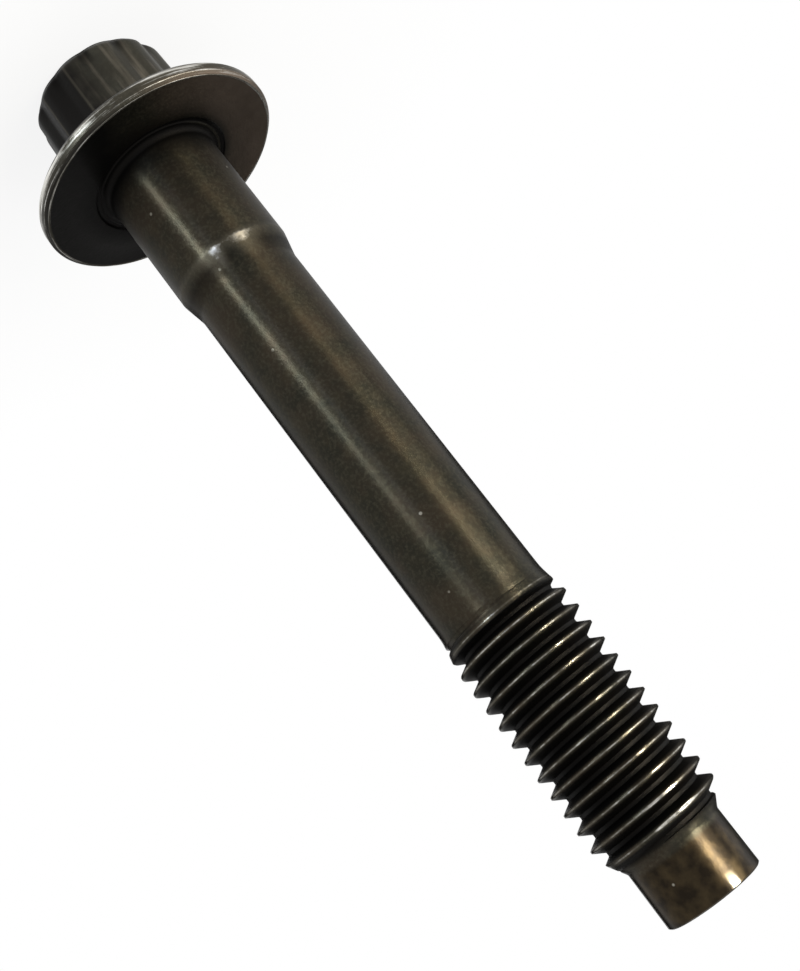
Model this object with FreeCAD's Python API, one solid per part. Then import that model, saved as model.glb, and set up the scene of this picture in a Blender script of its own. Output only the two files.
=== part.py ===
import FreeCAD, Part

"""Wheel hub bolt: one steel forging with a twelve-point head, a washer flange, a stepped shank and a rolled thread.

Millimetres. The bolt stands on the flat end of its head: the origin is the centre of that face, and +Z runs along
the bolt's axis to the pilot tip. Heights along the bolt are measured from the flange's bearing face.
"""
import math
import os

Vector = FreeCAD.Vector
UP = Vector(0, 0, 1)
CENTRE = Vector(0, 0, 0)

# Head
head_height = 11.9              # bearing face to the flat end of the head
across_flats = 12.8             # of each of the two hexagons, at the end of the head
head_draft = 1.5                # degrees that the flats open towards the flange
crest_radius = 7.0              # truncated points, at the end of the head
head_face_radius = 6.45         # flat on which the bolt stands
head_chamfer_angle = 40.0       # degrees, from the flat end
head_turn = 6.8                 # degrees from +X to the first point
head_valley_round = 0.5         # rounding at the bottom of each valley
dish_radius = 4.2               # shallow forged recess in the end of the head
dish_depth = 0.5

# Flange
flange_radius = 12.6            # widest circle of the rim
rim_height = 1.6                # bearing face to the back edge of the rim
rim_edge_chamfer = 0.3          # bevel between the bearing face and the rim
rim_back_chamfer = 0.35         # bevel at the rim's back edge
head_core_inset = 0.3           # the turned core under the head's points lies this far inside its flats
flange_top_angle = 20.0         # degrees of the cone that rises from the rim to the head
flange_cove = 1.4               # hollow rounding where that cone meets the head

# Bearing face and root of the shoulder
relief_radius = 7.1             # shallow ring recess in the bearing face
relief_depth = 0.2
root_fillet = 1.0               # between the recess and the shoulder

# Shoulder and shank
shoulder_radius = 5.88
shoulder_length = 12.6
shoulder_taper_length = 2.55
shank_radius = 5.335
taper_blend = 2.0               # rounding where the taper runs into the shank

# Thread, M12 x 1.75, right-hand
thread_major_radius = 5.9
thread_pitch = 1.75
thread_start = 53.0             # where the crests begin to rise from the shank
runout_length = 2.7             # along which crests rise and grooves deepen
full_crest_height = 56.22       # a full crest on the +X side lies here
thread_full_end = 74.65         # where the crests begin to fall at the tip end
tip_chamfer_length = 2.15

# Pilot
under_head_length = 82.0
pilot_radius = 4.55
pilot_edge_chamfer = 0.3

# Proportions of the thread form: sixty-degree flanks, flat crests and narrow flat roots
flank_half_angle = math.radians(30)
sharp_height = thread_pitch / 2 / math.tan(flank_half_angle)
thread_depth = 17 / 24 * sharp_height
crest_flat = thread_pitch / 8
thread_root_radius = thread_major_radius - thread_depth
cutter_margin = 0.15            # how far the groove cutter reaches past the crests
stretches_per_turn = 4          # the groove's strips are made in short stretches
edge_steps = 4                  # points along each stretch
tiny_turn = 1e-4                # step that finds the groove's direction at the ends of a stretch
groove_start = thread_start - thread_pitch / 3
turns_to_full_crest = (full_crest_height - groove_start) / thread_pitch
groove_phase = 2 * math.pi * (0.5 - turns_to_full_crest)

# Sizes that follow from the others
bearing_z = head_height
point_half_angle = math.radians(30)     # from the middle of a hexagon's side to its corner
head_opening = bearing_z * math.tan(math.radians(head_draft))   # how far each flat moves out along the head
same_place = 0.01               # two lengths closer than this count as the same when edges are chosen


def point(radius, height):
    """A profile point in the XZ plane."""
    return Vector(radius, 0, height)


def rounded_profile(corners):
    """A closed face in the XZ plane from (radius, height, rounding) corners, with tangent arcs at rounded corners."""
    edges = []
    arcs = []
    count = len(corners)
    for index, (radius, height, rounding) in enumerate(corners):
        corner = point(radius, height)
        before = point(*corners[index - 1][:2])
        after = point(*corners[(index + 1) % count][:2])
        if not rounding:
            arcs.append((corner, None, corner))
            continue
        to_before = (before - corner).normalize()
        to_after = (after - corner).normalize()
        half_opening = to_before.getAngle(to_after) / 2
        setback = rounding / math.tan(half_opening)
        bisector = (to_before + to_after).normalize()
        arc_middle = corner + bisector * (rounding / math.sin(half_opening) - rounding)
        arcs.append((corner + to_before * setback, arc_middle, corner + to_after * setback))
    for index, (start, middle, end) in enumerate(arcs):
        if middle:
            edges.append(Part.Arc(start, middle, end).toShape())
        edges.append(Part.makeLine(end, arcs[(index + 1) % count][0]))
    return Part.Face(Part.Wire(edges))


def revolved(corners):
    """A turned solid about the bolt's axis."""
    return rounded_profile(corners).revolve(CENTRE, UP, 360)


def hexagon(turn, half_width, height):
    """A hexagonal outline with one corner turned from +X by turn degrees."""
    corner_radius = half_width / math.cos(point_half_angle)
    angles = [math.radians(turn + 60 * side) for side in range(6)]
    corners = [Vector(corner_radius * math.cos(a), corner_radius * math.sin(a), height) for a in angles]
    return Part.makePolygon(corners + corners[:1])


def hexagonal_bar(turn):
    """A hexagonal bar as long as the head, whose flats open towards the flange by the draft."""
    end = hexagon(turn, across_flats / 2, 0)
    foot = hexagon(turn, across_flats / 2 + head_opening, bearing_z)
    return Part.makeLoft([end, foot], True, True)


def twelve_point_head():
    """Two hexagons thirty degrees apart, with rounded valleys, trimmed to the turned outline of the head."""
    star = hexagonal_bar(head_turn).fuse(hexagonal_bar(head_turn + 30)).removeSplitter()
    valley_radius = (across_flats + head_opening) / 2 / math.cos(point_half_angle / 2)
    valleys = [
        edge
        for edge in star.Edges
        if abs(edge.CenterOfMass.z - bearing_z / 2) < same_place
        and abs(math.hypot(edge.CenterOfMass.x, edge.CenterOfMass.y) - valley_radius) < same_place
    ]
    star = star.makeFillet(head_valley_round, valleys)
    chamfer_height = (crest_radius - head_face_radius) * math.tan(math.radians(head_chamfer_angle))
    crest_at_flange = crest_radius + head_opening / math.cos(point_half_angle)
    outline = revolved([
        (0, 0, 0),
        (head_face_radius, 0, 0),
        (crest_radius, chamfer_height, 0),
        (crest_at_flange, bearing_z, 0),
        (0, bearing_z, 0),
    ])
    return star.common(outline)


def turned_body():
    """Flange, shoulder, shank, thread blank and pilot as one turned profile, with a core that enters the head."""
    rim_back_z = bearing_z - rim_height
    rim_back_radius = flange_radius - rim_back_chamfer
    rim_front_radius = flange_radius - rim_edge_chamfer
    core_radius = across_flats / 2 - head_core_inset
    cone_rise = (rim_back_radius - core_radius) * math.tan(math.radians(flange_top_angle))
    cone_top_z = rim_back_z - cone_rise
    relief_z = bearing_z - relief_depth
    taper_start = bearing_z + shoulder_length
    tip_end = bearing_z + under_head_length
    chamfer_start = bearing_z + thread_full_end
    return revolved([
        (0, cone_top_z - flange_cove, 0),
        (core_radius, cone_top_z - flange_cove, 0),
        (core_radius, cone_top_z, flange_cove),
        (rim_back_radius, rim_back_z, 0),
        (flange_radius, rim_back_z + rim_back_chamfer, 0),
        (flange_radius, bearing_z - rim_edge_chamfer, 0),
        (rim_front_radius, bearing_z, 0),
        (relief_radius + relief_depth, bearing_z, 0),
        (relief_radius, relief_z, 0),
        (shoulder_radius, relief_z, root_fillet),
        (shoulder_radius, taper_start, 0),
        (shank_radius, taper_start + shoulder_taper_length, taper_blend),
        (shank_radius, bearing_z + thread_start, 0),
        (thread_major_radius, bearing_z + thread_start + runout_length, 0),
        (thread_major_radius, chamfer_start, 0),
        (pilot_radius, chamfer_start + tip_chamfer_length, 0),
        (pilot_radius, tip_end - pilot_edge_chamfer, 0),
        (pilot_radius - pilot_edge_chamfer, tip_end, 0),
        (0, tip_end, 0),
    ])


def groove_root_radius(height):
    """Radius of the groove's bottom: it sinks from above the shank to full depth along the run-out."""
    shallowness = max(0.0, 1 - (height - groove_start) / runout_length)
    return thread_root_radius + (shank_radius + cutter_margin - thread_root_radius) * shallowness


def groove_point(turn, outward, along):
    """A point of the cutter: outward from the groove's bottom line and along the axis from it."""
    height = groove_start + turn * thread_pitch
    angle = 2 * math.pi * turn + groove_phase
    radius = groove_root_radius(height) + outward
    return Vector(radius * math.cos(angle), radius * math.sin(angle), bearing_z + height + along)


def helical_edge(first_turn, last_turn, outward, along):
    """One smooth stretch of a line that winds along the groove."""
    turns = [first_turn + (last_turn - first_turn) * step / edge_steps for step in range(edge_steps + 1)]
    ends = [
        (groove_point(turn + tiny_turn, outward, along) - groove_point(turn, outward, along)) * (1 / tiny_turn)
        for turn in (first_turn, last_turn)
    ]
    line = Part.BSplineCurve()
    line.interpolate(
        Points=[groove_point(turn, outward, along) for turn in turns],
        Parameters=turns,
        InitialTangent=ends[0],
        FinalTangent=ends[1],
    )
    return line.toShape()


def thread_groove():
    """A solid that fills the right-hand groove: four strips wind round the bolt between two flat caps."""
    root_half_width = (thread_pitch - crest_flat) / 2 - thread_depth * math.tan(flank_half_angle)
    mouth_half_width = (thread_pitch - crest_flat) / 2 + cutter_margin * math.tan(flank_half_angle)
    mouth = thread_depth + cutter_margin
    section = [(0, -root_half_width), (0, root_half_width), (mouth, mouth_half_width), (mouth, -mouth_half_width)]
    groove_end = thread_full_end + tip_chamfer_length + thread_pitch
    stretches = math.ceil((groove_end - groove_start) / thread_pitch * stretches_per_turn)
    faces = []
    for stretch in range(stretches):
        first_turn = stretch / stretches_per_turn
        last_turn = (stretch + 1) / stretches_per_turn
        edges = [helical_edge(first_turn, last_turn, outward, along) for outward, along in section]
        faces += [Part.makeRuledSurface(edge, following) for edge, following in zip(edges, edges[1:] + edges[:1])]
    for turn in (0, stretches / stretches_per_turn):
        corners = [groove_point(turn, outward, along) for outward, along in section]
        faces.append(Part.Face(Part.makePolygon(corners + corners[:1])))
    shell = Part.makeShell(faces)
    shell.sewShape()
    return Part.makeSolid(shell)


def hub_bolt():
    """The whole bolt as one solid."""
    bolt = turned_body().fuse(twelve_point_head()).removeSplitter()
    dish = Part.makeCone(dish_radius, dish_radius - dish_depth, dish_depth)
    bolt = bolt.cut(dish)
    bolt = bolt.cut(thread_groove())
    return bolt.Solids[0]


def main():
    os.makedirs("parts", exist_ok=True)
    hub_bolt().exportStep("parts/hub_bolt.step")


main()
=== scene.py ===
import math

import bmesh
import bpy
from mathutils import Matrix, Vector


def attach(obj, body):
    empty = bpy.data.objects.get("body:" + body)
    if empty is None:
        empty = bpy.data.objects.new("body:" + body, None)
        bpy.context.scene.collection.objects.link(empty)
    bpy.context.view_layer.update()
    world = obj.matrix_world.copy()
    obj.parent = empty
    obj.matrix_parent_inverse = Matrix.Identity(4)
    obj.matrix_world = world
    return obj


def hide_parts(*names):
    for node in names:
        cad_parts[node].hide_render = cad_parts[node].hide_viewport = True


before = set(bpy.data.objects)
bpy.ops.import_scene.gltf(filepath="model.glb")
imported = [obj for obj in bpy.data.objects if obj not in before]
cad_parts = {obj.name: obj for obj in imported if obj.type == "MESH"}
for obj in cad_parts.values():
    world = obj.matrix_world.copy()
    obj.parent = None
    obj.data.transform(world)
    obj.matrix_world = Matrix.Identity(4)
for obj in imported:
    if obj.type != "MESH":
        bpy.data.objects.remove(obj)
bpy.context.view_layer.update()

MM = 0.001

# Sizes of the bolt in millimetres. Heights run along the axis from the flat end of the head, on which it stands.
DISH_DEPTH = 0.5                # recess in the end of the head
AXIS_RING = 0.6                 # smallest ring at each end, which one face closes
HEAD_TURN = 6.8                 # degrees from +X to the first point of the head
ACROSS_FLATS = 12.8
DRAFT = math.tan(math.radians(1.5))
HEAD_END = 6.4                  # edge of the flat end
HEAD_END_BEVEL = 0.04
HEAD_CORE = 6.1                 # turned body under the head's points
BEARING = 11.9                  # bearing face of the flange
HEAD_TOP = BEARING - 1.9        # the points end in the flange's cone below this height
RIM = 12.6
RIM_BACK = 12.25                # back edge of the rim, where the cone starts
RIM_BACK_HEIGHT = BEARING - 1.6
CONE_SLOPE = math.tan(math.radians(20))
FACE = BEARING - 0.03           # the face lies a little below its raised edge
RECESS = BEARING - 0.18         # floor of the ring recess
LIP = BEARING - 0.09            # low lip between the recess and the shoulder
SHOULDER = 5.88
SHANK = 5.335
PITCH = 1.75
CREST = 5.9
ROOT = 4.83
FULL_CREST = BEARING + 56.22    # a full crest on the +X side
RISE_START = BEARING + 53.0     # the crests rise along the run-out
RISE_END = BEARING + 55.7
FALL_START = BEARING + 74.65    # and fall along the chamfer
FALL_END = BEARING + 76.8
PILOT = 4.55
TIP = BEARING + 82.0

# The mesh: how finely it is cut, and where its three lengths meet.
SIDES = 384
TURN_STEPS = 96
THREAD_TURNS = 18
SHANK_SEAM = BEARING + 51.2
PILOT_SEAM = BEARING + 77.35


# ---------------------------------------------------------------- small helpers

def colour(code):
    """An sRGB hex colour as linear values."""
    parts = [int(code[i:i + 2], 16) / 255 for i in (1, 3, 5)]
    return [p / 12.92 if p <= 0.04045 else ((p + 0.055) / 1.055) ** 2.4 for p in parts] + [1.0]


def nothing_selected():
    """Leaves edit mode and deselects every object."""
    if bpy.context.object and bpy.context.object.mode != "OBJECT":
        bpy.ops.object.mode_set(mode="OBJECT")
    bpy.ops.object.select_all(action="DESELECT")


def soft_min(a, b, soft):
    """The lower of two values, with a rounded change from one to the other."""
    mix = max(0.0, soft - abs(a - b)) / soft
    return min(a, b) - mix * mix * soft / 4


def soft_max(a, b, soft):
    """The higher of two values, with a rounded change from one to the other."""
    return -soft_min(-a, -b, soft)


def smooth(value, low, high):
    """Rises from 0 to 1 between two places, with no kink at either."""
    share = min(1.0, max(0.0, (value - low) / (high - low)))
    return share * share * (3 - 2 * share)


def ramp(value, points):
    """A value read from a line through (place, value) points."""
    for (x0, y0), (x1, y1) in zip(points, points[1:]):
        if value <= x1:
            return y0 + (y1 - y0) * max(0.0, value - x0) / (x1 - x0)
    return points[-1][1]


def rounded(corners):
    """Profile points from (radius, height, rounding, steps) corners."""
    points = []
    for i, (r, z, rounding, steps) in enumerate(corners):
        here = Vector((r, z))
        if not rounding:
            points.append((r, z))
            continue
        back = (Vector(corners[i - 1][:2]) - here).normalized()
        on = (Vector(corners[i + 1][:2]) - here).normalized()
        half = back.angle(on) / 2
        reach = rounding / math.tan(half)
        centre = here + (back + on).normalized() * rounding / math.sin(half)
        start = here + back * reach - centre
        end = here + on * reach - centre
        for step in range(steps + 1):
            spoke = start.lerp(end, step / steps).normalized() * rounding
            points.append(tuple(centre + spoke))
    return points


def filled(points, longest):
    """The same profile with extra points, so that no step is longer than stated."""
    result = [points[0]]
    for a, b in zip(points, points[1:]):
        parts = max(1, math.ceil(math.dist(a, b) / longest))
        result += [(a[0] + (b[0] - a[0]) * k / parts, a[1] + (b[1] - a[1]) * k / parts) for k in range(1, parts + 1)]
    return result


def turned(name, profile):
    """A tube turned about the bolt's axis: one ring after another is drawn out and sized to the profile."""
    nothing_selected()
    radius, height = profile[0]
    bpy.ops.mesh.primitive_circle_add(vertices=SIDES, radius=radius * MM, location=(0, 0, height * MM))
    piece = bpy.context.object
    piece.name = name
    bpy.ops.object.mode_set(mode="EDIT")
    bpy.ops.mesh.select_all(action="SELECT")
    for next_radius, next_height in profile[1:]:
        bpy.ops.mesh.extrude_edges_move(TRANSFORM_OT_translate={"value": (0, 0, (next_height - height) * MM)})
        size = next_radius / radius
        bpy.ops.transform.resize(value=(size, size, 1), center_override=(0, 0, next_height * MM))
        radius, height = next_radius, next_height
    bpy.ops.object.mode_set(mode="OBJECT")
    bpy.ops.object.transform_apply(location=True, rotation=True, scale=True)
    return piece


def move_out(vertex, size):
    """Moves a vertex away from the axis, or towards it, by a factor."""
    vertex.co.x *= size
    vertex.co.y *= size


# ---------------------------------------------------------------- the bolt

def off_point(angle):
    """Degrees from the nearest of the head's twelve points."""
    return (math.degrees(angle) - HEAD_TURN + 15) % 30 - 15


def head_outline(z):
    """Radius of the head's truncated points at a height: end chamfer, then the draft towards the flange."""
    chamfer = 6.47 + 0.9 * z
    drafted = 7.05 + z * DRAFT / math.cos(math.radians(30))
    return soft_min(chamfer, drafted, 0.35)


def head_radius(angle, z, body_radius):
    """Radius of the head, blended into the turned body under it."""
    off = abs(off_point(angle))
    half_width = ACROSS_FLATS / 2 + z * DRAFT
    first_hexagon = half_width / math.cos(math.radians(30 - off))
    second_hexagon = half_width / math.cos(math.radians(off))
    star = soft_max(first_hexagon, second_hexagon, 0.10)
    # the points are rounded a little instead of flat
    star = soft_min(star, head_outline(z) - 0.0012 * off ** 2, 0.14)
    return soft_max(star, body_radius, 0.30)


def place_in_pitch(angle, z):
    """Where a point lies along one pitch of the thread: zero at the crest's middle, half a pitch at the groove's."""
    turn = (z - FULL_CREST) / PITCH - angle / (2 * math.pi)
    return turn - round(turn)


def thread_radius(angle, z):
    """Radius of the rolled thread: sixty-degree flanks between rounded crests and roots."""
    from_groove = (0.5 - abs(place_in_pitch(angle, z))) * PITCH
    envelope = SHANK + (CREST - SHANK) * smooth(z, RISE_START - 0.9, RISE_END + 0.5)
    if z > RISE_END + 2:
        envelope = ramp(z, [(FALL_START, CREST), (FALL_END, PILOT)])
    root = ramp(z, [(BEARING + 52.4, SHANK + 0.15), (BEARING + 55.1, ROOT)])
    groove = root + max(0.0, from_groove - PITCH / 12) * math.tan(math.radians(60))
    groove = soft_max(groove, root + 0.03, 0.10)
    return soft_min(envelope, groove, 0.06)


head_end = rounded([
    (AXIS_RING, DISH_DEPTH, 0, 0),
    (3.7, DISH_DEPTH, 0.25, 4),
    (4.2, 0.0, 0.10, 3),
    (6.35, 0.0, 0.05, 3),
    (HEAD_END, HEAD_END_BEVEL, 0, 0),
])
# close rings along the end chamfer, then wider apart up the head
head_side = [(HEAD_END, HEAD_END_BEVEL + 0.05 * k) for k in range(1, 17)]
head_side += [(HEAD_CORE, z) for z in (1.1, 1.5, 2.1, 2.9, 3.7, 4.6, 5.4)]
cone_top = RIM_BACK_HEIGHT - (RIM_BACK - HEAD_CORE) * CONE_SLOPE
flange_back = filled(rounded([
    (HEAD_CORE, 5.4, 0, 0),
    (HEAD_CORE, cone_top, 1.4, 12),
    (RIM_BACK, RIM_BACK_HEIGHT, 0, 0),
]), 0.35)[1:-1]
flange_front = rounded([
    (11.9, RIM_BACK_HEIGHT - 0.35 * CONE_SLOPE, 0, 0),
    (RIM_BACK, RIM_BACK_HEIGHT, 0.35, 6),
    (RIM, BEARING - 1.2, 0.30, 5),
    (RIM, BEARING - 0.32, 0.12, 4),
    (12.33, BEARING - 0.10, 0, 0),
    (12.34, BEARING, 0.06, 3),
    (12.22, BEARING, 0, 0),
    (12.0, FACE, 0, 0),
    (9.5, FACE, 0, 0),
    (7.24, FACE, 0.12, 3),
    (7.1, RECESS, 0.08, 3),
    (6.76, RECESS, 0.08, 3),
    (6.62, LIP, 0.08, 3),
    (6.5, LIP, 0, 0),
])
shoulder = rounded([
    (6.5, LIP, 0, 0),
    (SHOULDER, LIP, 0.58, 8),
    (SHOULDER, BEARING + 1.0, 0, 0),
    (SHOULDER, BEARING + 3.0, 0, 0),
    (SHOULDER, BEARING + 11.4, 0, 0),
    (SHOULDER, BEARING + 11.8, 0, 0),
    (SHOULDER, BEARING + 12.1, 0, 0),
    (SHOULDER, BEARING + 12.6, 0.9, 6),
    (5.6, BEARING + 13.91, 0, 0),
    (SHANK, BEARING + 15.15, 2.4, 6),
    (SHANK, BEARING + 30.0, 0, 0),
    (SHANK, BEARING + 45.0, 0, 0),
    (SHANK, SHANK_SEAM - 0.2, 0, 0),
])[1:]
body = turned("hub_bolt_dressed", head_end + head_side + flange_back + flange_front + shoulder)

pilot = turned("pilot", rounded([
    (PILOT, PILOT_SEAM + 0.15, 0, 0),
    (PILOT, TIP - 2.4, 0, 0),
    (PILOT, TIP - 1.4, 0, 0),
    (PILOT, TIP - 1.0, 0, 0),
    (PILOT, TIP - 0.6, 0, 0),
    (PILOT, TIP - 0.3, 0, 0),
    (PILOT, TIP - 0.12, 0.06, 3),
    (4.40, TIP, 0.04, 3),
    (AXIS_RING, TIP, 0, 0),
]))

# The head's points can't be drawn out by turning, so each vertex of the head is set to its own radius.
for vertex in body.data.vertices:
    x, y, z = vertex.co / MM
    turned_radius = math.hypot(x, y)
    if 0.02 < z < HEAD_TOP and turned_radius > 5.5:
        move_out(vertex, head_radius(math.atan2(y, x), z, turned_radius) / turned_radius)

# The thread: one pitch of its section is drawn as a chain of points, then wound round the axis by a screw modifier.
pitch_places = [-0.5, -0.455, -0.41, -0.375, -0.34, -0.26, -0.18, -0.11, -0.085, -0.065, -0.045, -0.02]
pitch_places += [-place for place in reversed(pitch_places)]
nothing_selected()
chain_start = FULL_CREST + (pitch_places[0] - 4) * PITCH
bpy.ops.mesh.primitive_plane_add(size=0.001, location=(CREST * MM, 0, chain_start * MM))
thread = bpy.context.object
thread.name = "thread"
bpy.ops.object.mode_set(mode="EDIT")
bpy.ops.mesh.select_all(action="SELECT")
bpy.ops.mesh.merge(type="CENTER")
for before, after in zip(pitch_places, pitch_places[1:]):
    bpy.ops.mesh.extrude_vertices_move(TRANSFORM_OT_translate={"value": (0, 0, (after - before) * PITCH * MM)})
bpy.ops.object.mode_set(mode="OBJECT")
bpy.ops.object.transform_apply(location=True, rotation=True, scale=True)
screw = thread.modifiers.new("screw", "SCREW")
screw.axis = "Z"
screw.angle = 2 * math.pi
screw.screw_offset = PITCH * MM
screw.iterations = THREAD_TURNS
screw.steps = TURN_STEPS
screw.render_steps = TURN_STEPS
bpy.ops.object.modifier_apply(modifier="screw")
bpy.ops.object.mode_set(mode="EDIT")
bpy.ops.mesh.select_all(action="SELECT")
bpy.ops.mesh.remove_doubles(threshold=0.01 * MM)
bpy.ops.object.mode_set(mode="OBJECT")
for vertex in thread.data.vertices:
    x, y, z = vertex.co / MM
    move_out(vertex, thread_radius(math.atan2(y, x), z) / math.hypot(x, y))

# Both ends of the winding are cut off square, and slivers left at the cuts are merged.
bpy.ops.object.mode_set(mode="EDIT")
for seam, keep_above in ((SHANK_SEAM, True), (PILOT_SEAM, False)):
    bpy.ops.mesh.select_all(action="SELECT")
    bpy.ops.mesh.bisect(plane_co=(0, 0, seam * MM), plane_no=(0, 0, 1), clear_inner=keep_above,
                        clear_outer=not keep_above, threshold=0.0001 * MM)
bpy.ops.mesh.select_all(action="SELECT")
bpy.ops.mesh.region_to_loop()
bpy.ops.mesh.remove_doubles(threshold=0.03 * MM)
bpy.ops.object.mode_set(mode="OBJECT")

# The three lengths become one closed piece.
nothing_selected()
for part in (pilot, thread, body):
    part.select_set(True)
bpy.context.view_layer.objects.active = body
bpy.ops.object.join()
bpy.ops.object.mode_set(mode="EDIT")
bpy.ops.mesh.select_mode(type="EDGE")


def angle_of(vertex):
    """A vertex's angle round the axis, from +X."""
    return math.atan2(vertex.co.y, vertex.co.x)


def zip_rings(mesh, seam):
    """Joins the two open rings at a seam with triangles, always to the nearest vertex round the axis."""
    edges = [e for e in mesh.edges if e.is_boundary and abs(e.verts[0].co.z / MM - seam) < 0.5]
    ends = {v for e in edges for v in e.verts}
    middle = sum(v.co.z for v in ends) / len(ends)
    rings = [sorted((v for v in ends if (v.co.z > middle) == upper), key=angle_of) for upper in (False, True)]
    reached = [0, 0]
    while reached[0] < len(rings[0]) or reached[1] < len(rings[1]):
        following = []
        for ring, count in zip(rings, reached):
            turns, place = divmod(count + 1, len(ring))
            following.append(angle_of(ring[place]) + 2 * math.pi * turns)
        lower_has_more = reached[0] < len(rings[0])
        upper_is_done = reached[1] >= len(rings[1])
        step = 0 if upper_is_done or (lower_has_more and following[0] <= following[1]) else 1
        corners = [ring[count % len(ring)] for ring, count in zip(rings, reached)]
        reached[step] += 1
        corners.append(rings[step][reached[step] % len(rings[step])])
        mesh.faces.new(corners)


mesh = bmesh.from_edit_mesh(body.data)
for seam in (SHANK_SEAM, PILOT_SEAM):
    zip_rings(mesh, seam)
bmesh.update_edit_mesh(body.data)
for end in (DISH_DEPTH, TIP):
    bpy.ops.mesh.select_all(action="DESELECT")
    mesh = bmesh.from_edit_mesh(body.data)
    for edge in mesh.edges:
        if edge.is_boundary and abs(edge.verts[0].co.z / MM - end) < 0.05:
            edge.select_set(True)
    bmesh.update_edit_mesh(body.data)
    bpy.ops.mesh.edge_face_add()
bpy.ops.mesh.select_all(action="SELECT")
bpy.ops.mesh.normals_make_consistent(inside=False)
bpy.ops.object.mode_set(mode="OBJECT")
bpy.ops.object.shade_smooth_by_angle(angle=math.radians(40))


# ---------------------------------------------------------------- wear, painted highlights and painted shade, kept on the mesh as attributes

# Spots of bare metal painted brightest, most of them painted highlights set where glints fall in the view: azimuth and
# half width in degrees.
RIM_GLINT_SPOTS = [(-31, 17), (15, 6), (52, 16), (78, 24), (-84, 18), (120, 20), (-150, 25)]
TAPER_GLINT_SPOTS = [(-24, 24), (4, 12), (100, 18), (170, 15)]


def side_of(angle, azimuth):
    """How far a place lies from an azimuth, in degrees. Azimuth is measured from the -Y side, towards +X."""
    return (math.degrees(angle) + 90 - azimuth + 180) % 360 - 180


def near(angle, azimuth, full, none):
    """1 up to so many degrees from an azimuth, falling to 0 at so many."""
    return 1 - smooth(abs(side_of(angle, azimuth)), full, none)


def head_wear_and_painted_light(angle, r, z):
    """A thin painted highlight runs along one flank of each point, the flank turned away from the middle of the view;
    painted shade darkens the ends of the valleys, and the end chamfer is darker.
    """
    # painted highlight along the flank of each point that faces away from the middle of the view
    lit_flank = 4.0 if side_of(angle, -9) > 0 else -4.0
    bare_and_glints = 0.32 * smooth(r, 6.6, 6.9) * (1 - smooth(abs(off_point(angle) - lit_flank), 0.5, 1.7))
    # painted shade at the ends of the valleys, near the flat end
    valley_end_shade = 0.75 * smooth(abs(off_point(angle)), 8.0, 12.0) * (1 - smooth(z, 0.6, 2.6))
    chamfer = 0.8 * (1 - smooth(z, 0.10, 0.50))
    return bare_and_glints, max(valley_end_shade, chamfer), 0.0


def flange_wear_and_painted_light(angle, r, z):
    """The rim and the raised edge are rubbed bare, with painted highlights in spots round the rim; it is darker under
    that edge, and painted shade fills the ring recess except on part of its lip, which is left light as a painted
    highlight.
    """
    # painted highlights in spots round the rim
    glint_spot = max(near(angle, azimuth, 0.3 * half, 1.2 * half) for azimuth, half in RIM_GLINT_SPOTS)
    band = smooth(z, BEARING - 1.45, BEARING - 1.2) * (1 - smooth(z, BEARING - 0.62, BEARING - 0.42))
    rim = (0.42 + 0.60 * glint_spot) * band * smooth(r, 12.44, 12.53)
    bevels = 0.30 * smooth(r, 12.3, 12.45) * (1 - band)
    raised_edge = 0.75 * smooth(z, BEARING - 0.04, BEARING - 0.02) * smooth(r, 12.15, 12.22)
    under_edge = smooth(r, 12.34, 12.38) * (1 - smooth(r, 12.50, 12.58)) * smooth(z, BEARING - 0.5, BEARING - 0.3)
    # painted highlight: part of the lip, on one side of the view, is left light
    lit_lip = smooth(r, 6.44, 6.50) * (1 - smooth(r, 6.62, 6.68)) * near(angle, -88, 20, 48)
    # painted shade in the ring recess
    recess_shade = (1 - 0.7 * lit_lip) * (1 - smooth(r, 7.12, 7.5)) * smooth(z, BEARING - 0.5, BEARING - 0.4)
    lathed = 0.5 * smooth(r, 7.4, 7.6) * smooth(z, BEARING - 0.1, BEARING - 0.05)
    return max(rim, bevels, raised_edge), max(under_edge, recess_shade), lathed


def shank_wear_and_painted_light(angle, z):
    """Painted shade lies at the root of the shoulder under the flange, lifted on one side, and on the taper's face;
    the taper's edge is rubbed bare, with painted highlights in spots.
    """
    # painted shade under the flange at the root of the shoulder, lifted on one side of the view
    root = 1 - smooth(z, BEARING + 0.5, BEARING + 3.2)
    long_root_shade = 0.5 * (1 - smooth(z, BEARING + 0.5, BEARING + 6.5))
    less_shaded = near(angle, 20, 15, 50) * smooth(z, BEARING + 0.4, BEARING + 1.2)
    # painted highlights in spots on the taper's edge
    glint_spot = max(near(angle, azimuth, 0, half) for azimuth, half in TAPER_GLINT_SPOTS)
    bare_and_glints = (0.30 + 0.40 * glint_spot) * smooth(z, BEARING + 12.0, BEARING + 12.8)
    bare_and_glints *= 1 - smooth(z, BEARING + 13.1, BEARING + 14.1 + 0.5 * glint_spot)
    # painted shade on the taper's face
    taper_shade = smooth(z, BEARING + 12.7, BEARING + 13.4) * (1 - smooth(z, BEARING + 14.2, BEARING + 15.7))
    darkening = max(max(root, long_root_shade) * (1 - 0.55 * less_shaded), 0.6 * taper_shade * (1 - 0.8 * glint_spot))
    lathed = smooth(z, BEARING + 0.6, BEARING + 1.2) * (1 - bare_and_glints)
    return bare_and_glints, darkening, lathed


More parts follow.
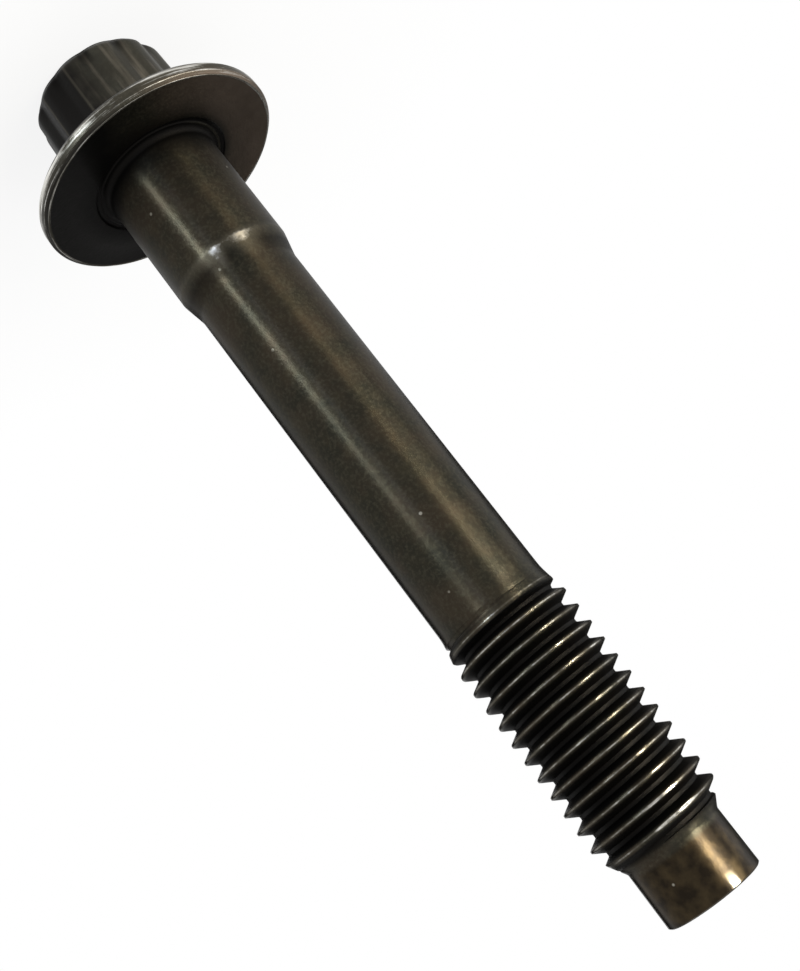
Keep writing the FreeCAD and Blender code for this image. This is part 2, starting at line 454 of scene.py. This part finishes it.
def thread_wear_and_painted_light(angle, z):
    """The crests are rubbed bare, and on the last one the bare band is painted wider and brighter on one side as a
    painted highlight; the grooves are darker.
    """
    off_crest = abs(place_in_pitch(angle, z))
    # painted highlight on one side of the last crest
    last_crest_glint = smooth(z, FALL_START - 1.8, FALL_START - 1.2) * near(angle, -16, 12, 26)
    bare_and_glints = (0.54 + 0.55 * last_crest_glint) * (1 - smooth(off_crest, 0.025, 0.065 + 0.06 * last_crest_glint))
    bare_and_glints *= smooth(z, RISE_START, RISE_START + 0.8) * (1 - smooth(z, FALL_END - 1.0, FALL_END - 0.4))
    darkening = smooth(off_crest, 0.08, 0.16) * smooth(z, RISE_START + 0.3, RISE_START + 1.2)
    darkening *= 1 - smooth(z, FALL_END - 0.9, FALL_END - 0.2)
    return bare_and_glints, darkening, 1 - darkening


def pilot_wear_and_painted_light(angle, z):
    """The pilot's end is rubbed bare round its edge, with a painted highlight on one side near the end, and its end
    face is darker.
    """
    edge = 0.45 * smooth(z, TIP - 0.16, TIP - 0.08)
    # painted highlight on one side near the end
    glint_spot = 0.9 * near(angle, -25, 3, 8) * smooth(z, TIP - 1.3, TIP - 0.5)
    return max(edge, glint_spot), 0.8 * smooth(z, TIP - 0.02, TIP), 0.5


def wear_and_painted_light(x, y, z):
    """Bare metal and painted highlights, dirt and painted shade, and turned finish at a point of the bolt, each from 0
    to 1.
    """
    angle = math.atan2(y, x)
    if z < HEAD_TOP:
        return head_wear_and_painted_light(angle, math.hypot(x, y), z)
    if z < BEARING + 0.05:
        return flange_wear_and_painted_light(angle, math.hypot(x, y), z)
    if z < RISE_START - 0.5:
        return shank_wear_and_painted_light(angle, z)
    if z < FALL_END + 0.1:
        return thread_wear_and_painted_light(angle, z)
    return pilot_wear_and_painted_light(angle, z)


levels = zip(*[wear_and_painted_light(*(vertex.co / MM)) for vertex in body.data.vertices])
for name, values in zip(("worn_and_glints", "grime_and_shade", "lathed"), levels):
    body.data.attributes.new(name, "FLOAT", "POINT").data.foreach_set("value", values)


# ---------------------------------------------------------------- finish

def add(tree, kind, inputs=None, output=0, **settings):
    """Adds a node with its settings, sets or links its inputs by name or number, and gives back one of its outputs."""
    node = tree.nodes.new(kind)
    for key, value in settings.items():
        setattr(node, key, value)
    for socket, value in (inputs or {}).items():
        if isinstance(value, bpy.types.NodeSocket):
            tree.links.new(value, node.inputs[socket])
        else:
            node.inputs[socket].default_value = value
    return node.outputs[output] if node.outputs else None


def empty_material(name):
    """A material with no nodes yet."""
    material = bpy.data.materials.new(name)
    material.use_nodes = True
    material.node_tree.nodes.clear()
    return material


def black_oxide_steel():
    """Black-oxide carbon steel, hot-blackened and oiled: near-black brown, satin, mottled where the oil has dried,
    with bare bright metal where the finish is rubbed through, painted highlights in the bare metal's tone, and painted
    shade in the dirt's tone."""
    material = empty_material("black_oxide_steel")
    tree = material.node_tree
    place = add(tree, "ShaderNodeTexCoord", output="Object")
    x, y, z = add(tree, "ShaderNodeSeparateXYZ", {0: place}).node.outputs
    off_axis = add(tree, "ShaderNodeCombineXYZ", {"X": x, "Y": y})
    radius = add(tree, "ShaderNodeVectorMath", {0: off_axis}, "Value", operation="LENGTH")
    worn_and_glints, grime_and_shade, lathed = [
        add(tree, "ShaderNodeAttribute", output="Fac", attribute_name=name) for name in ("worn_and_glints", "grime_and_shade", "lathed")]

    # clouds of dried oil, about 5 mm across, and blotches of about 1.5 mm in them
    clouds = add(tree, "ShaderNodeTexNoise", {"Vector": place, "Scale": 190.0, "Detail": 3.0, "Roughness": 0.6})
    blotches = add(tree, "ShaderNodeTexNoise", {"Vector": place, "Scale": 700.0, "Detail": 3.0})
    # grain of the etched surface, drawn at about 0.3 mm so that it shows
    grain = add(tree, "ShaderNodeTexNoise", {"Vector": place, "Scale": 3200.0, "Detail": 2.0, "Roughness": 0.6})
    # scratches that the socket left along the head, some 0.5 mm apart: the pattern is drawn out along the axis
    along = add(tree, "ShaderNodeMath", {0: z, 1: 0.10}, operation="MULTIPLY")
    drawn_out = add(tree, "ShaderNodeCombineXYZ", {"X": x, "Y": y, "Z": along})
    scratches = add(tree, "ShaderNodeTexNoise", {"Vector": drawn_out, "Scale": 1300.0, "Detail": 4.0})
    # scuffs on the rim run round it: the pattern changes slowly along the rim and quickly across it
    across = add(tree, "ShaderNodeMath", {0: z, 1: radius}, operation="SUBTRACT")
    across = add(tree, "ShaderNodeMath", {0: across, 1: 30.0}, operation="MULTIPLY")
    drawn_round = add(tree, "ShaderNodeCombineXYZ", {"X": x, "Y": y, "Z": across})
    scuffs = add(tree, "ShaderNodeTexNoise", {"Vector": drawn_round, "Scale": 160.0, "Detail": 4.0, "Roughness": 0.65})
    # pinpricks of bare metal, about 0.2 mm across and some 4 mm apart
    cells = add(tree, "ShaderNodeTexVoronoi", {"Vector": place, "Scale": 420.0})
    # one side of the flange face is darker, with an uneven edge to the darker part
    darker_side_edge = add(tree, "ShaderNodeMath", {0: clouds, 1: 0.010, 2: x}, operation="MULTIPLY_ADD")

    # shares that rise from 0 to the last number as the value goes from the first number to the second
    share = {
        name: add(tree, "ShaderNodeMapRange", {"Value": value, "From Min": low, "From Max": high, "To Max": most})
        for name, value, low, high, most in (
            ("clouds", clouds, 0.40, 0.60, 1.0),
            ("blotches", blotches, 0.45, 0.75, 0.5),
            ("grain", grain, 0.45, 0.78, 0.6),
            ("tip_mottle", blotches, 0.40, 0.68, 1.0),
            ("tip", z, 88.9 * MM, 89.3 * MM, 0.95),
            ("lighter_side", x, -2.0 * MM, -9.0 * MM, 0.8),
            ("off_shoulder", radius, 7.2 * MM, 8.0 * MM, 1.0),
            ("flange_up", z, 11.2 * MM, 11.5 * MM, 1.0),
            ("head", z, 10.4 * MM, 9.8 * MM, 0.5),
            ("scratches", scratches, 0.50, 0.72, 1.5),
            ("darker_side", darker_side_edge, 1.5 * MM, 7.5 * MM, 1.0),
            ("flange_down", z, 14.5 * MM, 12.5 * MM, 1.0),
            ("rim", radius, 11.9 * MM, 12.1 * MM, 1.0),
            ("near_wear_and_glints", worn_and_glints, 0.0, 0.3, 1.0),
            ("rubbed_and_glints", worn_and_glints, 0.0, 1.0, 0.9),
            ("pinpricks", cells, 0.075, 0.045, 0.7),
            ("where_pricked", clouds, 0.55, 0.62, 1.0),
        )
    }

    # bare metal shows through in patches of the worn places and of the painted highlights, which are more broken on
    # the rim
    broken = add(tree, "ShaderNodeMix", {0: share["rim"], 2: blotches, 3: scuffs})
    uneven = add(tree, "ShaderNodeMath", {0: broken, 1: 0.5}, operation="SUBTRACT")
    unevenness = add(tree, "ShaderNodeMath", {0: share["rim"], 1: 2.7, 2: 0.5}, operation="MULTIPLY_ADD")
    patches = add(tree, "ShaderNodeMath", {0: uneven, 1: unevenness, 2: worn_and_glints}, operation="MULTIPLY_ADD")
    fine_uneven = add(tree, "ShaderNodeMath", {0: grain, 1: 0.5}, operation="SUBTRACT")
    patches = add(tree, "ShaderNodeMath", {0: fine_uneven, 1: 0.4, 2: patches}, operation="MULTIPLY_ADD")
    patches = add(tree, "ShaderNodeMapRange", {"Value": patches, "From Min": 0.40, "From Max": 1.10})
    polish = add(tree, "ShaderNodeMapRange", {"Value": broken, "From Min": 0.40, "From Max": 0.65})

    # places where two shares hold at once
    both = {
        name: add(tree, "ShaderNodeMath", {0: first, 1: second}, operation="MULTIPLY")
        for name, first, second in (
            ("lighter_face", share["lighter_side"], share["off_shoulder"]),
            ("scratched", share["scratches"], share["head"]),
            ("darker_face", share["darker_side"], share["flange_down"]),
            ("bare_and_glints", patches, share["near_wear_and_glints"]),
            ("pricked", share["pinpricks"], share["where_pricked"]),
        )
    }
    lighter_face = add(tree, "ShaderNodeMath", {0: both["lighter_face"], 1: share["flange_up"]}, operation="MULTIPLY")

    # tones that vary in themselves: the turned tip, the lighter side of the flange face, and metal from dull to bright
    tip_tone, lighter_face_tone, metal_tone = [
        add(tree, "ShaderNodeMix", {0: amount, 6: colour(dark), 7: colour(light)}, 2, data_type="RGBA")
        for amount, dark, light in (
            (share["tip_mottle"], "#211C16", "#3B3224"),
            (blotches, "#5B4F45", "#6E6257"),
            (polish, "#7C7970", "#ECEAE4"),
        )
    ]

    # layers of colour, from the oxide up to the dirt and painted shade that cover all
    surface = colour("#2A2923")
    for amount, tone in (
        (share["clouds"], colour("#352F27")),
        (share["blotches"], colour("#3A352A")),
        (share["grain"], colour("#48453A")),
        (share["tip"], tip_tone),
        (lighter_face, lighter_face_tone),
        (share["head"], colour("#47463F")),
        (both["scratched"], colour("#6B655A")),
        (both["darker_face"], colour("#1B1A19")),
        # worn places, and the painted highlights, in a duller metal tone
        (share["rubbed_and_glints"], colour("#5A564C")),
        # bare metal, and the painted highlights in the glint spots
        (both["bare_and_glints"], metal_tone),
        (both["pricked"], colour("#9A968A")),
        # dirt, and painted shade at the head's valley ends, the ring recess, the shoulder's root and the taper's face
        (grime_and_shade, colour("#121110")),
    ):
        surface = add(tree, "ShaderNodeMix", {0: amount, 6: surface, 7: tone}, 2, data_type="RGBA")

    # satin oxide, smoother bare metal, painted highlights and tip, and matt dirt and painted shade
    rough = add(tree, "ShaderNodeMapRange",
                {"Value": grain, "From Min": 0.35, "From Max": 0.65, "To Min": 0.38, "To Max": 0.44})
    for amount, roughness in ((both["bare_and_glints"], 0.24), (share["tip"], 0.29), (grime_and_shade, 0.55)):
        rough = add(tree, "ShaderNodeMix", {0: amount, 2: rough, 3: roughness})

    # fine rings left by turning and rolling spread light along the axis and keep it narrow round it
    around_axis = add(tree, "ShaderNodeTangent", direction_type="RADIAL", axis="Z")
    rings = add(tree, "ShaderNodeMath", {0: lathed, 1: 0.9}, operation="MULTIPLY")
    relief = add(tree, "ShaderNodeMath", {0: blotches, 1: 1.5, 2: grain}, operation="MULTIPLY_ADD")
    bump = add(tree, "ShaderNodeBump", {"Strength": 0.30, "Distance": 0.03 * MM, "Height": relief})
    shader = add(tree, "ShaderNodeBsdfPrincipled", {
        "Base Color": surface, "Metallic": 1.0, "Specular Tint": colour("#EAEAEA"), "Roughness": rough,
        "Normal": bump, "Anisotropic": rings, "Anisotropic Rotation": 0.25, "Tangent": around_axis})
    add(tree, "ShaderNodeOutputMaterial", {0: shader})
    return material


body.data.materials.clear()
body.data.materials.append(black_oxide_steel())
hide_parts("hub_bolt")
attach(body, "root")


# ---------------------------------------------------------------- studio, in metres

BOLT_MIDDLE = 0.055             # height round which lamps and cards are placed


def seen_directly(tree):
    """1 where the camera, metal or glass sees a surface, and 0 for light that bounces."""
    path = add(tree, "ShaderNodeLightPath").node.outputs
    seen = path["Is Camera Ray"]
    for ray in ("Is Glossy Ray", "Is Transmission Ray"):
        seen = add(tree, "ShaderNodeMath", {0: seen, 1: path[ray]}, operation="MAXIMUM")
    return seen


def white_paper():
    """Matt white paper that also glows, so that it is plain white and keeps a faint shadow only near the bolt."""
    material = empty_material("white_paper")
    tree = material.node_tree
    matt = add(tree, "ShaderNodeBsdfDiffuse", {0: colour("#F4F4F2")})
    white = add(tree, "ShaderNodeEmission", {0: colour("#FFFFFF"), 1: 1.0})
    centre = add(tree, "ShaderNodeTexCoord", output="Object")
    away = add(tree, "ShaderNodeVectorMath", {0: centre}, "Value", operation="LENGTH")
    glow = add(tree, "ShaderNodeMapRange",
               {"Value": away, "From Min": 0.012, "From Max": 0.058, "To Min": 0.87, "To Max": 1.0})
    glow = add(tree, "ShaderNodeMath", {0: seen_directly(tree), 1: glow}, operation="MULTIPLY")
    add(tree, "ShaderNodeOutputMaterial", {0: add(tree, "ShaderNodeMixShader", {0: glow, 1: matt, 2: white})})
    return material


nothing_selected()
bpy.ops.mesh.primitive_plane_add(size=6.0, location=(0, 0, 0))
floor = bpy.context.object
floor.name = "floor"
floor.data.materials.append(white_paper())

world = bpy.data.worlds.new("studio")
bpy.context.scene.world = world
world.use_nodes = True
tree = world.node_tree
tree.nodes.clear()
strength = add(tree, "ShaderNodeMapRange", {"Value": seen_directly(tree), "To Min": 0.55, "To Max": 1.0})
add(tree, "ShaderNodeOutputWorld", {0: add(tree, "ShaderNodeBackground", {0: colour("#FFFFFF"), 1: strength})})


def around(azimuth, elevation, distance, height=BOLT_MIDDLE):
    """A place round the bolt. Azimuth is measured from the camera's side, towards +X."""
    a, e = math.radians(azimuth), math.radians(elevation)
    return Vector((0, 0, height)) + distance * Vector(
        (math.sin(a) * math.cos(e), -math.cos(a) * math.cos(e), math.sin(e)))


def lamp(name, place, width, height, radiance, tone, aim_height=BOLT_MIDDLE):
    """A soft rectangular lamp that faces the bolt's axis at a height."""
    data = bpy.data.lights.new(name, "AREA")
    data.shape = "RECTANGLE"
    data.size = width
    data.size_y = height
    data.energy = radiance * math.pi * width * height
    data.color = colour(tone)[:3]
    made = bpy.data.objects.new(name, data)
    bpy.context.scene.collection.objects.link(made)
    made.location = place
    made.rotation_euler = (place - Vector((0, 0, aim_height))).to_track_quat("Z", "Y").to_euler()
    return made


lamp("warm_strip", around(-62, 0, 0.20, 0.110), 0.130, 0.12, 5.8, "#FFF9E6", 0.08)
# a honeycomb grid keeps the warm spot on the tip
warm_spot = lamp("warm_spot", around(-50, 0, 0.20, 0.140), 0.060, 0.03, 4.8, "#FFF6E0", 0.096)
warm_spot.data.spread = math.radians(24)
# a narrow strip lies on the floor and points at the bolt, for the thin streak along the shoulder and the shank
floor_strip = lamp("floor_strip", around(28, 0, 0.0595, 0.0015), 0.0030, 0.051, 92.0, "#E4EFF2")
floor_strip.rotation_euler = (math.radians(180), 0, math.radians(28))
floor_strip.visible_camera = False
# two small lamps for the glints on the taper
lamp("cool_glint", around(8, 0, 0.11, 0.018), 0.007, 0.007, 60.0, "#CFE0FF", 0.025)
lamp("warm_glint", around(-46, 0, 0.12, 0.018), 0.034, 0.010, 14.0, "#FFE9BE", 0.025)
lamp("left_softbox", around(-105, 15, 0.35), 0.20, 0.25, 1.6, "#FFFFFF")
lamp("top_softbox", around(-30, 75, 0.60), 0.40, 0.40, 1.0, "#FFFFFF")


def felt(name, code):
    """Matt felt of one colour."""
    material = empty_material(name)
    surface = add(material.node_tree, "ShaderNodeBsdfDiffuse", {0: colour(code)})
    add(material.node_tree, "ShaderNodeOutputMaterial", {0: surface})
    return material


def card(name, azimuth, distance, width, bottom, top, material):
    """An upright card that faces the bolt, and that only metal sees."""
    nothing_selected()
    bpy.ops.mesh.primitive_plane_add(size=1.0)
    made = bpy.context.object
    made.name = name
    made.scale = (width, top - bottom, 1)
    made.location = around(azimuth, 0, distance, (top + bottom) / 2)
    made.rotation_euler = (math.radians(90), 0, math.radians(azimuth))
    made.visible_camera = False
    made.visible_diffuse = False
    made.visible_shadow = False
    made.data.materials.append(material)


# Dark cards behind the bolt draw its dark edges.
card("black_card", 144, 0.06, 0.027, 0.001, 0.16, felt("black_felt", "#141414"))
card("grey_card", -160, 0.11, 0.11, 0.01, 0.20, felt("grey_felt", "#5C5C5C"))

# The camera looks 15 degrees downwards and is rolled, so that the head lies at the upper left of the picture.
camera_data = bpy.data.cameras.new("camera")
camera_data.lens = 46.544
camera_data.sensor_width = 36.0
camera_data.clip_start = 0.01
camera = bpy.data.objects.new("camera", camera_data)
bpy.context.scene.collection.objects.link(camera)
camera.matrix_world = (
    Matrix.Translation((0, -0.1077695, 0.0681476 + BEARING * MM))
    @ Matrix.Rotation(math.radians(74.951), 4, "X")
    @ Matrix.Rotation(math.radians(142.525), 4, "Z")
)
bpy.context.scene.camera = camera
bpy.context.scene.view_settings.view_transform = "Standard"
